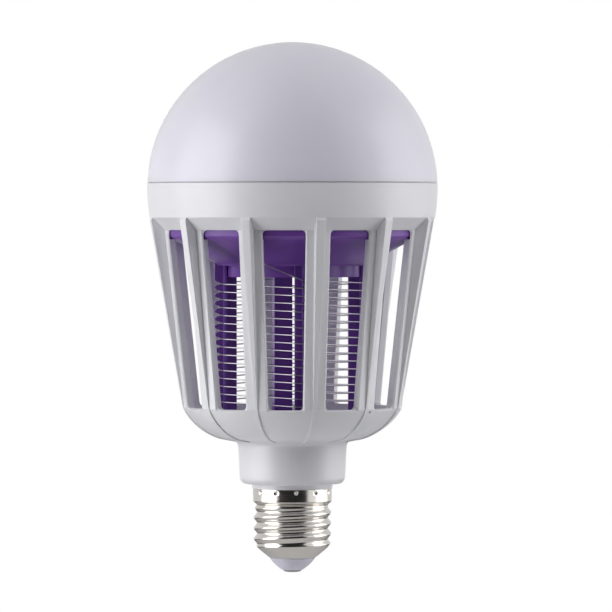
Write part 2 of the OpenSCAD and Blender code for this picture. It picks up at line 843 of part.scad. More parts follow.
// Rolled thread: an outer and an inner sheet, closed at both ends
module rolled_thread() {
    n = thread_segments;
    rows = thread_rows + 2;
    inset = 0.1;
    ring = function (i, wall)
        let (
            core = i < 0 || i > thread_rows,
            j = max(0, min(thread_rows, i)),
            z = z_thread + thread_len * j / thread_rows + (i < 0 ? -thread_lap : i > thread_rows ? thread_lap : 0)
        )
        [
            for (k = [0:n - 1])
                let (
                    a = 360 * k / n,
                    r = (core ? thread_r(0, a) : thread_r(j, a)) - (wall ? shell_wall - inset : inset)
                )
                [r * cos(a), r * sin(a), z]
        ];
    points = concat(
        [for (i = [-1:thread_rows + 1]) each ring(i, false)],
        [for (i = [-1:thread_rows + 1]) each ring(i, true)]
    );
    base = (rows + 1) * n;
    faces = concat(
        [
            for (i = [0:rows - 1], k = [0:n - 1])
                let (a = i * n + k, b = i * n + (k + 1) % n)
                each [[a, a + n, b + n], [a, b + n, b]]
        ],
        [
            for (i = [0:rows - 1], k = [0:n - 1])
                let (a = base + i * n + k, b = base + i * n + (k + 1) % n)
                each [[a, b + n, a + n], [a, b, b + n]]
        ],
        [
            for (k = [0:n - 1])
                let (a = k, b = (k + 1) % n)
                each [[a, b, base + b], [a, base + b, base + a]]
        ],
        [
            for (k = [0:n - 1])
                let (a = rows * n + k, b = rows * n + (k + 1) % n)
                each [[a, base + b, b], [a, base + a, base + b]]
        ]
    );
    polyhedron(points, faces, convexity = 10);
}

module screw_shell() {
    root = thread_d / 2 - thread_depth;
    color([0.75, 0.73, 0.70]) {
        rolled_thread();
        turned([
            [root - shell_wall, z_skirt],
            [root, z_skirt],
            [skirt_r - 0.3, z_skirt + shoulder_h - 0.6],
            [skirt_r, z_skirt + shoulder_h - 0.2],
            [skirt_r, z_rim],
            [skirt_r - shell_wall, z_rim],
            [skirt_r - shell_wall, z_skirt + shoulder_h],
            [root - shell_wall, z_skirt + shoulder_h - 0.6]
        ]);
        turned([
            [insulator_d / 2 - 0.6, z_shell],
            [insulator_d / 2, z_shell],
            [shell_shoulder_d / 2 - 0.5, z_thread - 1.1],
            [root, z_thread],
            [root - shell_wall, z_thread],
            [shell_shoulder_d / 2 - 1, z_thread - 1],
            [insulator_d / 2 - 0.6, z_shell + 0.5]
        ]);
    }
}

module cap_insulator() {
    r = insulator_d / 2;
    tip = contact_d / 2;
    color([0.80, 0.79, 0.86])
    difference() {
        turned(concat(
            [[0, contact_h], [tip + 0.1, contact_h]],
            arc([tip + 0.3, contact_h + 0.1], [r, z_shell - 0.1], 12, 6),
            [[r, z_shell], [r - 0.8, z_shell], [r - 0.8, z_shell + 0.8], [r + 0.8, z_plug], [0, z_plug]]
        ));
        translate([0, 0, -1]) cylinder(d = contact_stem_d + 0.1, h = z_shell + 5);
    }
}

module centre_contact() {
    r = contact_d / 2;
    color([0.62, 0.61, 0.60])
        turned([
            [0, 0],
            [r * 0.5, 0],
            [r * 0.85, contact_h * 0.3],
            [r, contact_h],
            [contact_stem_d / 2, contact_h],
            [contact_stem_d / 2, z_contact_top],
            [0, z_contact_top]
        ]);
}

module led_plate() {
    color([0.93, 0.94, 0.93])
    difference() {
        translate([0, 0, z_ledge]) cylinder(r = plate_r, h = lamp_plate_t);
        screw_ring(plate_screw_r, z_ledge - 1) cylinder(d = pass_d, h = lamp_plate_t + 2);
        translate([0, 0, z_ledge - 1]) cylinder(d = lead_hole_d, h = lamp_plate_t + 2);
    }
}

// A surface-mounted lamp: a frame with a slightly sunk face
module small_lamp() {
    frame = 0.3;
    sink = 0.15;
    difference() {
        translate([-lamp_l / 2, -lamp_w / 2, 0]) cube([lamp_l, lamp_w, lamp_h]);
        translate([0, 0, lamp_h - sink]) cylinder(d = lamp_w - 2 * frame, h = 1);
    }
}

module white_leds() {
    color([0.98, 0.93, 0.55]) {
        round_axis(outer_lamps, 0) translate([outer_lamp_r, 0, z_lamps]) small_lamp();
        round_axis(inner_lamps, 0) translate([inner_lamp_r, 0, z_lamps]) small_lamp();
    }
}

module plate_screws() {
    color([0.70, 0.70, 0.72])
        screw_ring(plate_screw_r, z_lamps)
            screw(plate_screw_bite + lamp_plate_t);
}

module driver_board() {
    color([0.10, 0.42, 0.22])
    difference() {
        translate([0, 0, z_driver]) cylinder(d = driver_d, h = driver_t);
        screw_ring(driver_screw_r, z_driver - 1) cylinder(d = pass_d, h = driver_t + 2);
    }
}

module board_screws() {
    color([0.70, 0.70, 0.72])
        screw_ring(driver_screw_r, z_parts)
            screw(board_screw_bite + driver_t);
}

// Places of the parts on the driver board, seen from above
can_at = [-6, -13];
film_at = [[-4.5, 12], [4.5, 12]];
rectifier_at = [-18.5, 1.2];
choke_at = [14, -7];
chip_at = [0, -5.4];
disc_at = [-11.5, -4.9];
diode_at = [18.5, 6.4];
bleed_at = [[-12.7, 5.65], [-9.5, 5.65], [10.2, 5.65]];
// Gap between neighbours in a row of like parts
row_gap = 1;
// Gap under a part whose leads hold it off the board
stand_off = 0.05;

// A round body along X with a wire end at each side, its middle at the origin
module axial_part(d, l) {
    wire_end_d = 0.25 * d;
    wire_end_l = 0.5 * d;
    rotate([0, 90, 0]) {
        cylinder(d = d, h = l, center = true);
        cylinder(d = wire_end_d, h = l + 2 * wire_end_l, center = true);
    }
}

module electrolytic_capacitor() {
    r = can_d / 2;
    roll = 0.3;
    groove_x = 1.8;
    color([0.12, 0.14, 0.30])
        translate([can_at[0], can_at[1], z_parts + r + stand_off]) rotate([0, 90, 0])
            turned([
                [0, 0], [r - roll, 0], [r, roll],
                [r, groove_x - 2 * roll], [r - roll, groove_x - roll],
                [r - roll, groove_x + roll], [r, groove_x + 2 * roll],
                [r, can_l - roll], [r - roll, can_l], [0, can_l]
            ]);
}

module film_capacitors() {
    crown = 0.3;
    color([0.75, 0.25, 0.12])
        for (p = film_at)
            translate([p[0], p[1], z_parts]) {
                translate([-film_w / 2, -film_l / 2, 0]) cube([film_w, film_l, film_h]);
                translate([-film_w / 2 + crown, -film_l / 2 + crown, film_h - eps])
                    cube([film_w - 2 * crown, film_l - 2 * crown, crown]);
            }
}

module bridge_rectifier() {
    body_h = 2.4;
    leg = [1 + eps, 1, 0.8];
    leg_y = rectifier_l / 2 - 1.1;
    color([0.10, 0.10, 0.11])
        translate([rectifier_at[0], rectifier_at[1], z_parts]) {
            translate([-rectifier_w / 2, -rectifier_l / 2, 0.3]) cube([rectifier_w, rectifier_l, body_h]);
            for (y = [-leg_y, leg_y], m = [0, 1])
                mirror([m, 0, 0])
                    translate([rectifier_w / 2 - eps, y - leg[1] / 2, 0]) cube(leg);
        }
}

module filter_choke() {
    r = choke_d / 2;
    waist = r - 0.6;
    flange = 1.1;
    color([0.20, 0.20, 0.22])
        translate([choke_at[0], choke_at[1], z_parts])
            turned([
                [0, 0], [r, 0], [r, flange], [waist, flange + 0.2],
                [waist, choke_h - flange - 0.2], [r, choke_h - flange], [r, choke_h], [0, choke_h]
            ]);
}

module driver_chip() {
    body_h = 1.5;
    leg = [0.4, 0.9 + eps, 0.6];
    leg_pitch = 1.27;
    color([0.10, 0.10, 0.11])
        translate([chip_at[0], chip_at[1], z_parts]) {
            translate([-chip_l / 2, -chip_w / 2, 0.15]) cube([chip_l, chip_w, body_h]);
            for (i = [-1.5:1.5], m = [0, 1])
                mirror([0, m, 0])
                    translate([leg_pitch * i - leg[0] / 2, chip_w / 2 - eps, 0]) cube(leg);
        }
}

module hv_capacitors() {
    r = disc_d / 2;
    t = disc_t / 2;
    edge = 0.5;
    pitch = disc_t + row_gap;
    color([0.15, 0.35, 0.62])
        for (i = [-1.5:1.5])
            translate([disc_at[0], disc_at[1] + pitch * i, z_parts + r + stand_off])
                rotate([90, 0, 0])
                    turned([[0, -t], [r - edge, -t], [r, edge - t], [r, t - edge], [r - edge, t], [0, t]]);
}

module hv_diodes() {
    pitch = diode_d + row_gap;
    color([0.12, 0.12, 0.13])
        for (i = [-1.5:1.5])
            translate([diode_at[0], diode_at[1] + pitch * i, z_parts + diode_d / 2 + stand_off])
                axial_part(diode_d, diode_l);
}

module bleed_resistors() {
    color([0.78, 0.68, 0.48])
        for (p = bleed_at)
            translate([p[0], p[1], z_parts + bleed_d / 2 + stand_off])
                rotate([0, 0, 90]) axial_part(bleed_d, bleed_l);
}

module uv_board() {
    color([0.93, 0.94, 0.93])
        translate([0, 0, z_uv]) cylinder(d = uv_board_d, h = uv_board_t);
}

module uv_leds() {
    color([0.62, 0.48, 0.95])
        round_axis(uv_lamps, 0) translate([uv_lamp_r, 0, z_uv]) mirror([0, 0, 1]) small_lamp();
}

module uv_leads() {
    color([0.85, 0.85, 0.85])
        for (m = [0, 1])
            mirror([m, 0, 0])
                translate([lead_offset, 0, z_uv + uv_board_t])
                    cylinder(d = thin_lead_d, h = z_driver - z_uv - uv_board_t);
}

module lamp_leads() {
    top = z_lamps + thin_lead_d / 2 + 0.1;
    color([0.85, 0.85, 0.85])
        for (s = [-1, 1])
            tube(smooth([
                [s * lead_offset, 0, z_parts + 0.02],
                [s * lead_offset, 0, z_ledge - 1],
                [s * (lead_offset + 0.1), 0, top - 0.9],
                [s * (lead_offset + 1.1), 0, top + 0.2],
                [s * (lead_offset + 3.5), 0, top]
            ], 3), thin_lead_d, 8, [0, 1, 0]);
}

// Distance of each mains lead from the middle of the duct, and of the resistor from the axis
duct_lead_x = 0.75;
resistor_y = 3;
// Hand-laid routes of the mains leads, turned with the hollow post
live_route = [
    [0, -3, 28.7], [0, -4, 34], [0, -7, 41], [-0.5, -12, 46.6], [-0.75, -18.5, 48.6], [-0.75, -20.9, 50.4]
];
neutral_route = [
    [3, 5, 16], [4, 2, 26], [3, -4, 34], [2, -8, 41],
    [0.9, -12.2, 46.6], [0.75, -18.5, 48.6], [0.75, -20.9, 50.4]
];

module mains_lead(route, x) {
    tube(smooth(concat(
        route,
        [[x, -duct_r, z_foot + 1], [x, -duct_r, z_collar], [x, -duct_r, z_driver - lead_gap]]
    ), 3), lead_d, 8, [1, 0, 0]);
}

module live_lead() {
    color([0.55, 0.25, 0.15]) {
        rotate([0, 0, 180 + post_phase]) mains_lead(live_route, -duct_lead_x);
        tube(smooth([
            [0, 0, z_contact_top + lead_gap],
            [0, 0, z_contact_top + lead_d / 2],
            [0, 0, z_contact_top + 1.5 * lead_d],
            [0, resistor_y, z_resistor - 2.5 * lead_d],
            [0, resistor_y, z_resistor - lead_d / 2],
            [0, resistor_y, z_resistor - lead_gap]
        ], 3), lead_d, 8, [1, 0, 0]);
    }
}

module neutral_lead() {
    color([0.15, 0.30, 0.65])
        rotate([0, 0, 180 + post_phase]) mains_lead(neutral_route, duct_lead_x);
}

module fusible_resistor() {
    r = fuse_d / 2;
    body_r = r - 0.2;
    cap_l = 1.8;
    color([0.60, 0.70, 0.62])
        translate([0, resistor_y, z_resistor])
            turned([
                [0, 0], [r - 0.4, 0], [r, 0.6], [r, cap_l], [body_r, cap_l + 0.4],
                [body_r, fuse_l - cap_l - 0.4], [r, fuse_l - cap_l], [r, fuse_l - 0.6],
                [r - 0.4, fuse_l], [0, fuse_l]
            ]);
}

module foot_screws() {
    color([0.70, 0.70, 0.72])
        screw_ring(foot_screw_r, z_foot)
            screw(foot_h + foot_screw_bite);
}

diffuser_dome();
cage_body();
trap_frame();
grid_wire_live();
grid_wire_return();
screw_shell();
cap_insulator();
centre_contact();
led_plate();
white_leds();
plate_screws();
driver_board();
board_screws();
electrolytic_capacitor();
film_capacitors();
bridge_rectifier();
filter_choke();
driver_chip();
hv_capacitors();
hv_diodes();
bleed_resistors();
uv_board();
uv_leds();
uv_leads();
lamp_leads();
live_lead();
neutral_lead();
fusible_resistor();
foot_screws();
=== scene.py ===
"""Looks of the insect killer light bulb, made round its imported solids.

Lengths are in metres. The origin is the tip of the cap, +Z runs up the lamp and the front is -Y.
A turn is in degrees, from the front to the right.
"""

import math

import bmesh
import bpy
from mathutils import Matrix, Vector


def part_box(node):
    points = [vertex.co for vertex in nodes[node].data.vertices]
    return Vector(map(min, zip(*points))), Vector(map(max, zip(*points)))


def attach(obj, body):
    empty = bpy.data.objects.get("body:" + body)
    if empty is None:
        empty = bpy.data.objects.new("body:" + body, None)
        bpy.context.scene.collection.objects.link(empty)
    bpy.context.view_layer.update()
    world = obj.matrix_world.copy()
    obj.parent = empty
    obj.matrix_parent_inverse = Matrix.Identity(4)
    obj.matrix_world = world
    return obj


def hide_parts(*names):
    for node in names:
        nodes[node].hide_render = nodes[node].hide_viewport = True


MM = 0.001

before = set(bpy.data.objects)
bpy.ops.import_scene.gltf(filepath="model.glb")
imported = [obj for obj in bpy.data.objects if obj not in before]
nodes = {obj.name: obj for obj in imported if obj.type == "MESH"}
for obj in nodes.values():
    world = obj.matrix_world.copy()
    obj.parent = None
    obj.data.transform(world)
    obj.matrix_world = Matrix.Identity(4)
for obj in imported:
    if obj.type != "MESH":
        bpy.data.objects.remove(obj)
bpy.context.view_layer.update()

# Camera: level with the ring and far off, as in the photograph
CAMERA_AT = (4.6 * MM, -1.865, 121 * MM)
CAMERA_LOOKS_AT = (4.6 * MM, 0, 90.2 * MM)
CAMERA_LENS = 323.6
CAMERA_SENSOR = 36

# Panels: big soft lights, which face the middle of the lamp
LAMP_MIDDLE = 90 * MM
PANEL_DISTANCE = 0.75
PANEL_TALL = 1.3
PANEL_WIDTH = 0.34

# Room: how bright it is in gloss, and in the dark sector of it behind the camera. The sector
# fades in between two cosines of the angle to the camera's direction.
GLOSS_ROOM = 0.76
GLOSS_DARK_SECTOR = 0.02
DARK_SECTOR_EDGES = (0.66, 0.78)

# Floor: its own glow for the camera grows from the first to the second value over FLOOR_FADE,
# two distances from its middle
FLOOR_DROP = 0.30
FLOOR_SIZE = 3.0
FLOOR_GLOW = (0.25, 1.0)
FLOOR_FADE = (0.5, 1.3)
FLOOR_TINTS = ((0.86, 0.86, 0.87), (0.88, 0.88, 0.89))
FLOOR_LUMPS = 60 * MM

# Grid wires
WIRE_R = 0.23 * MM
WIRE_BEND = 0.45 * MM
BEND_STEPS = 4
BEND_SHARE = 0.45  # the most of a straight piece that the bend at one of its ends may take
WIRE_END_REACH = 2.2 * WIRE_R  # just over the wire's width, so it takes in one ring of its mesh
WELD = 0.001 * MM

# Sheet metal of the cap, with its own finer thread
CAP_CREST_R = 13.15 * MM
CAP_THREAD_DEPTH = 1.05 * MM
CAP_ROOT_R = CAP_CREST_R - CAP_THREAD_DEPTH
CAP_PITCH = 3.629 * MM
CAP_SHEET = 0.35 * MM
FIRST_CREST = 0.9 * MM  # above the thread's lower end, at the right
THREAD_RUN_OUT = 0.14  # share of the thread's height over which it fades at either end
FOOT_HEIGHT = 3.7 * MM
# Outline below the thread: height over the lower edge, radius
SHELL_FOOT = [(0, 7.6 * MM), (0.5 * MM, 8.3 * MM), (2.6 * MM, 10.9 * MM), (FOOT_HEIGHT, CAP_ROOT_R)]
SKIRT_HEIGHT = 5.7 * MM
SKIRT_FLARE = 1.5 * MM  # height over which the skirt widens above the thread
SHELL_LOW, SHELL_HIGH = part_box("screw_shell")
SHELL_BOTTOM = SHELL_LOW.z
SHELL_TOP = SHELL_HIGH.z
SKIRT_R = SHELL_HIGH.x
THREAD_BOTTOM = SHELL_BOTTOM + FOOT_HEIGHT
THREAD_TOP = SHELL_TOP - SKIRT_HEIGHT
SHELL_COLUMNS = 240
SHELL_ROW = 0.16 * MM

# Dents of the crimp, round the skirt
DENTS = 12
DENT_TURN = 6.0
DENT_R = 0.85 * MM
DENT_DEPTH = 0.55 * MM
DENT_DROP = 1.25 * MM

# Colours that are used by name
CAGE_WHITE = (0.78, 0.78, 0.815)
FRAME_VIOLET = (0.18, 0.066, 0.37)
DOME_MILK = (0.79, 0.77, 0.93)
BOARD_WHITE = (0.86, 0.87, 0.86)
BOARD_WHITE_TRACK = (0.80, 0.81, 0.80)

MOULDING_EDGE = 0.45 * MM  # radius on the edges of the cage and of the frame inside it
BEVEL_SAMPLES = 6
BOARD_CELLS_PER_METRE = 220.0

# Sockets of a Mix node that carry colours, and its factor
MIX_FACTOR, MIX_FIRST, MIX_SECOND, MIX_RESULT = 0, 6, 7, 2


def add_node(tree, kind, inputs=(), **settings):
    """A node with its settings. Each input is a value, or the socket that is linked to it."""
    made = tree.nodes.new(kind)
    for key, value in settings.items():
        setattr(made, key, value)
    for key, value in dict(inputs).items():
        if isinstance(value, bpy.types.NodeSocket):
            tree.links.new(value, made.inputs[key])
        else:
            made.inputs[key].default_value = value
    return made


class Finish:
    """One material: a Principled surface, with short calls for the nodes that feed it."""

    def __init__(self, name, **sockets):
        self.material = bpy.data.materials.new(name)
        self.material.use_nodes = True
        self.tree = self.material.node_tree
        self.tree.nodes.clear()
        values = {socket.replace("_", " "): value for socket, value in sockets.items()}
        self.surface = self.node("ShaderNodeBsdfPrincipled", values)
        self.node("ShaderNodeOutputMaterial", {"Surface": self.surface.outputs["BSDF"]})
        self.place = self.node("ShaderNodeTexCoord").outputs["Object"]

    def node(self, kind, inputs=(), **settings):
        return add_node(self.tree, kind, inputs, **settings)

    def noise(self, size, detail=3.0):
        """Grain whose lumps are about size across, from 0 to 1."""
        inputs = {"Vector": self.place, "Scale": 1 / size, "Detail": detail}
        return self.node("ShaderNodeTexNoise", inputs).outputs["Fac"]

    def stretched_noise(self, size, stretch):
        """Grain of a size, drawn out by a factor along each axis."""
        scale = [1 / (size * s) for s in stretch]
        place = self.node("ShaderNodeMapping", {"Vector": self.place, "Scale": scale})
        inputs = {"Vector": place.outputs["Vector"], "Scale": 1.0, "Detail": 2.0}
        return self.node("ShaderNodeTexNoise", inputs).outputs["Fac"]

    def spread(self, fac, low, high, from_low=0.3, from_high=0.7):
        """A number from low to high as fac goes from from_low to from_high."""
        return self.node(
            "ShaderNodeMapRange",
            {"Value": fac, "From Min": from_low, "From Max": from_high, "To Min": low, "To Max": high},
        ).outputs["Result"]

    def blend(self, fac, first, second):
        """A colour from first to second."""
        inputs = {MIX_FACTOR: fac, MIX_FIRST: (*first, 1), MIX_SECOND: (*second, 1)}
        return self.node("ShaderNodeMix", inputs, data_type="RGBA").outputs[MIX_RESULT]

    def soft_normal(self, edge):
        """The surface's normal, with its edges softened to a radius."""
        bevel = self.node("ShaderNodeBevel", {"Radius": edge}, samples=BEVEL_SAMPLES)
        return bevel.outputs["Normal"]

    def colour(self, output):
        self.tree.links.new(output, self.surface.inputs["Base Color"])

    def roughness(self, output):
        self.tree.links.new(output, self.surface.inputs["Roughness"])

    def normal(self, output):
        self.tree.links.new(output, self.surface.inputs["Normal"])

    def mottle(self, size, colour, share):
        """Colour the surface in soft lumps of a size, the darkest at a share of the colour."""
        darkest = tuple(c * share for c in colour)
        self.colour(self.blend(self.spread(self.noise(size), 0, 1), darkest, colour))

    def relief(self, height, depth, edge=None):
        """Bump of a given depth, over edges that are softened to a radius."""
        inputs = {"Height": height, "Distance": depth, "Strength": 1.0}
        if edge:
            inputs["Normal"] = self.soft_normal(edge)
        self.normal(self.node("ShaderNodeBump", inputs).outputs["Normal"])


def moulded(name, colour, rough, edge=None, darkest=0.94, **sockets):
    """Injection-moulded plastic: faint flow mottling, a fine satin grain and soft edges."""
    f = Finish(name, **sockets)
    f.mottle(9 * MM, colour, darkest)
    f.roughness(f.spread(f.noise(2.2 * MM), rough - 0.04, rough + 0.05))
    f.relief(f.noise(0.35 * MM, detail=2.0), 0.006 * MM, edge)
    return f.material


def violet_plastic():
    """Polished moulding: flow marks show as faint changes of colour and gloss, with no grain."""
    f = Finish("violet_plastic", Specular_IOR_Level=0.4)
    f.mottle(9 * MM, FRAME_VIOLET, 0.85)
    f.roughness(f.spread(f.noise(5 * MM), 0.28, 0.36))
    f.normal(f.soft_normal(MOULDING_EDGE))
    return f.material


def milky_dome():
    """Frosted, light-scattering polycarbonate, a little violet, under a satin skin."""
    f = Finish(
        "dome_milk",
        Subsurface_Weight=1.0,
        Subsurface_Radius=(1.0, 0.98, 1.05),
        Subsurface_Scale=3.0 * MM,
        IOR=1.5,
        Coat_Weight=0.6,
        Coat_Roughness=0.25,
    )
    f.mottle(25 * MM, DOME_MILK, 0.985)
    f.roughness(f.spread(f.noise(4 * MM), 0.42, 0.5))
    f.relief(f.noise(0.25 * MM, detail=2.0), 0.004 * MM, 0.3 * MM)
    return f.material


def bright_metal(name, colour, rough, edge=None, draw=(1, 1, 1)):
    """Bare or plated metal, with a fine grain that may be drawn out, and slightly uneven."""
    f = Finish(name, Metallic=1.0)
    streaks = f.stretched_noise(0.3 * MM, draw)
    f.mottle(3 * MM, colour, 0.93)
    f.roughness(f.spread(streaks, rough - 0.04, rough + 0.06))
    f.relief(streaks, 0.002 * MM, edge)
    return f.material


def circuit_board(name, colour, track):
    """Solder resist over copper tracks that just show."""
    f = Finish(name)
    inputs = {"Vector": f.place, "Scale": BOARD_CELLS_PER_METRE, "Mortar Size": 0.06}
    tracks = f.node("ShaderNodeTexBrick", inputs).outputs["Fac"]
    f.colour(f.blend(tracks, colour, track))
    f.roughness(f.spread(f.noise(1.5 * MM), 0.3, 0.45))
    f.relief(tracks, 0.02 * MM)
    return f.material


def glazed(name, colour, rough):
    """Coated component: a dipped skin with slow waves in it."""
    f = Finish(name, Coat_Weight=0.4, Coat_Roughness=0.15)
    f.mottle(1.6 * MM, colour, 0.85)
    f.roughness(f.spread(f.noise(0.8 * MM), rough, rough + 0.1))
    f.relief(f.noise(1.2 * MM, detail=1.0), 0.03 * MM, 0.1 * MM)
    return f.material


def lamp_phosphor(name, tint, paler):
    """Small lamp, unlit: a fine grain between two tints."""
    f = Finish(name)
    grain = f.noise(0.12 * MM)
    f.colour(f.blend(f.spread(grain, 0, 1), tint, paler))
    f.roughness(f.spread(grain, 0.35, 0.5))
    f.relief(grain, 0.01 * MM)
    return f.material


# Which finish each node wears
STEEL = bright_metal("screw_steel", (0.60, 0.60, 0.62), 0.28, 0.08 * MM)
WIRE = bright_metal("wire_steel", (0.52, 0.49, 0.53), 0.30)
FINISHES = {
    "diffuser_dome": milky_dome(),
    "cage_body": moulded(
        "white_plastic",
        CAGE_WHITE,
        0.42,
        MOULDING_EDGE,
        darkest=0.975,
        Coat_Weight=0.6,
        Coat_Roughness=0.28,
    ),
    "trap_frame": violet_plastic(),
    "cap_insulator": moulded("cap_plastic", (0.69, 0.67, 0.78), 0.35, 0.3 * MM),
    "centre_contact": bright_metal("contact_metal", (0.34, 0.33, 0.34), 0.3, 0.1 * MM),
    "led_plate": circuit_board("plate_white", BOARD_WHITE, BOARD_WHITE_TRACK),
    "white_leds": lamp_phosphor("lamp_phosphor", (0.90, 0.72, 0.16), (0.93, 0.80, 0.30)),
    "driver_board": circuit_board("board_green", (0.02, 0.16, 0.05), (0.04, 0.24, 0.08)),
    "electrolytic_capacitor": glazed("can_blue", (0.02, 0.03, 0.10), 0.25),
    "film_capacitors": glazed("film_red", (0.50, 0.08, 0.03), 0.3),
    "bridge_rectifier": moulded("part_black", (0.012, 0.012, 0.013), 0.45, 0.1 * MM),
    "hv_capacitors": glazed("ceramic_blue", (0.03, 0.12, 0.42), 0.25),
    "bleed_resistors": glazed("resistor_tan", (0.50, 0.36, 0.18), 0.35),
    "fusible_resistor": glazed("resistor_green", (0.32, 0.42, 0.33), 0.4),
    "uv_board": circuit_board("plate_white_small", BOARD_WHITE, BOARD_WHITE_TRACK),
    "uv_leds": lamp_phosphor("uv_lens", (0.42, 0.28, 0.90), (0.50, 0.38, 0.95)),
    "uv_leads": moulded("lead_grey", (0.66, 0.66, 0.66), 0.4),
    "live_lead": moulded("lead_brown", (0.20, 0.07, 0.03), 0.4),
    "neutral_lead": moulded("lead_blue", (0.03, 0.10, 0.42), 0.4),
}
SAME_FINISH = {
    "plate_screws": STEEL,
    "board_screws": STEEL,
    "foot_screws": STEEL,
    "filter_choke": FINISHES["bridge_rectifier"],
    "driver_chip": FINISHES["bridge_rectifier"],
    "hv_diodes": FINISHES["bridge_rectifier"],
    "lamp_leads": FINISHES["uv_leads"],
    "grid_wire_live": WIRE,
    "grid_wire_return": WIRE,
}
NICKEL = bright_metal("cap_nickel", (0.72, 0.69, 0.65), 0.16, draw=(40, 40, 1))
FINISHES["screw_shell"] = NICKEL


def dress_nodes():
    """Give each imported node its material."""
    for name, material in {**FINISHES, **SAME_FINISH}.items():
        mesh = nodes[name].data
        mesh.materials.clear()
        mesh.materials.append(material)


def piece(name, mesh_or_curve, material):
    """A new object that rides on the lamp and wears the material it is given."""
    made = bpy.data.objects.new(name, mesh_or_curve)
    bpy.context.scene.collection.objects.link(made)
    made.data.materials.append(material)
    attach(made, "root")
    return made


def centre_line(node):
    """Middle of each ring of a swept tube, walked from its top end along its mesh."""
    tube = bmesh.new()
    tube.from_mesh(nodes[node].data)
    bmesh.ops.remove_doubles(tube, verts=tube.verts, dist=WELD)
    top = max(tube.verts, key=lambda v: v.co.z)
    ring = {v for v in tube.verts if (v.co - top.co).length < WIRE_END_REACH}
    seen = set()
    line = []
    while ring:
        line.append(sum((v.co for v in ring), Vector()) / len(ring))
        seen |= ring
        ring = {e.other_vert(v) for v in ring for e in v.link_edges} - seen
    tube.free()
    return line


def rounded(line, bend):
    """The line with its corners turned into short curves."""
    points = [line[0]]
    for before, corner, after in zip(line, line[1:], line[2:]):
        back, ahead = before - corner, after - corner
        start = corner + back.normalized() * min(bend, back.length * BEND_SHARE)
        end = corner + ahead.normalized() * min(bend, ahead.length * BEND_SHARE)
        for i in range(BEND_STEPS + 1):
            t = i / BEND_STEPS
            points.append(start * (1 - t) ** 2 + corner * 2 * t * (1 - t) + end * t * t)
    points.append(line[-1])
    return points


def grid_wire(node, name):
    """A round wire along the middle of a node's faceted one."""
    points = rounded(centre_line(node), WIRE_BEND)
    curve = bpy.data.curves.new(name, "CURVE")
    curve.dimensions = "3D"
    curve.bevel_depth = WIRE_R
    curve.bevel_resolution = 3
    curve.use_fill_caps = True
    spline = curve.splines.new("POLY")
    spline.points.add(len(points) - 1)
    for place, point in zip(spline.points, points):
        place.co = (*point, 1)
    wire = piece(name, curve, WIRE)
    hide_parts(node)


def smooth_step(t):
    """From 0 to 1 with soft ends."""
    t = max(0.0, min(1.0, t))
    return t * t * (3 - 2 * t)


def along(points, x):
    """Value of a broken line at x."""
    for (x0, y0), (x1, y1) in zip(points, points[1:]):
        if x <= x1:
            return y0 + (y1 - y0) * (x - x0) / (x1 - x0)
    return points[-1][1]


def around(turn, radius, z):
    """The point at a turn, a distance from the lamp's axis and a height."""
    a = math.radians(turn)
    return (radius * math.sin(a), -radius * math.cos(a), z)


def dent(z, turn):
    """How far the crimp pushes the skirt in."""
    nearest = (turn - DENT_TURN + 180 / DENTS) % (360 / DENTS) - 180 / DENTS
    away = math.hypot(math.radians(nearest) * SKIRT_R, z - (SHELL_TOP - DENT_DROP)) / DENT_R
    return DENT_DEPTH * (1 - smooth_step(away))


def shell_radius(z, turn):
    """Radius of the cap's sheet at a height and a turn."""
    if z < THREAD_BOTTOM:
        return along(SHELL_FOOT, z - SHELL_BOTTOM)
    if z > THREAD_TOP:
        flare = (SKIRT_R - CAP_ROOT_R) * smooth_step((z - THREAD_TOP) / SKIRT_FLARE)
        return CAP_ROOT_R + flare - dent(z, turn)
    share = (z - THREAD_BOTTOM) / (THREAD_TOP - THREAD_BOTTOM)
    rise = math.sin(math.pi / 2 * min(1, share / THREAD_RUN_OUT, (1 - share) / THREAD_RUN_OUT))
    climb = 2 * math.pi * (z - THREAD_BOTTOM - FIRST_CREST) / CAP_PITCH
    wave = math.cos(climb - math.radians(turn - 90))
    return CAP_ROOT_R + CAP_THREAD_DEPTH * rise * (1 + wave) / 2


def shell_ring(shell, z, inset):
    """One level of the cap's sheet, moved in from its outside."""
    turns = [360 * k / SHELL_COLUMNS for k in range(SHELL_COLUMNS)]
    return [shell.verts.new(around(turn, shell_radius(z, turn) - inset, z)) for turn in turns]


def bridge(shell, low, high):
    """Faces between two rings of the sheet."""
    for k in range(SHELL_COLUMNS):
        n = (k + 1) % SHELL_COLUMNS
        shell.faces.new((low[k], low[n], high[n], high[k]))


def rolled_shell():
    """The cap's sheet metal: a rolled thread, a crimped skirt and the edge that holds the insulator.

    The inside doesn't show, so it has every second row only.
    """
    rows = int((SHELL_TOP - SHELL_BOTTOM) / SHELL_ROW)
    heights = [SHELL_BOTTOM + (SHELL_TOP - SHELL_BOTTOM) * i / rows for i in range(rows + 1)]
    shell = bmesh.new()
    outer = [shell_ring(shell, z, 0) for z in heights]
    inner = [shell_ring(shell, z, CAP_SHEET) for z in heights[:-1:2] + heights[-1:]]
    for low, high in zip(outer, outer[1:]):
        bridge(shell, low, high)
    for low, high in zip(inner, inner[1:]):
        bridge(shell, high, low)
    bridge(shell, inner[0], outer[0])
    bridge(shell, outer[-1], inner[-1])
    mesh = bpy.data.meshes.new("cap_shell")
    shell.to_mesh(mesh)
    shell.free()
    for face in mesh.polygons:
        face.use_smooth = True
    made = piece("cap_shell", mesh, NICKEL)
    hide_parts("screw_shell")


def aim(thing, target):
    """Turn a camera or a light to face a point."""
    way = Vector(target) - thing.location
    thing.rotation_euler = way.to_track_quat("-Z", "Y").to_euler()


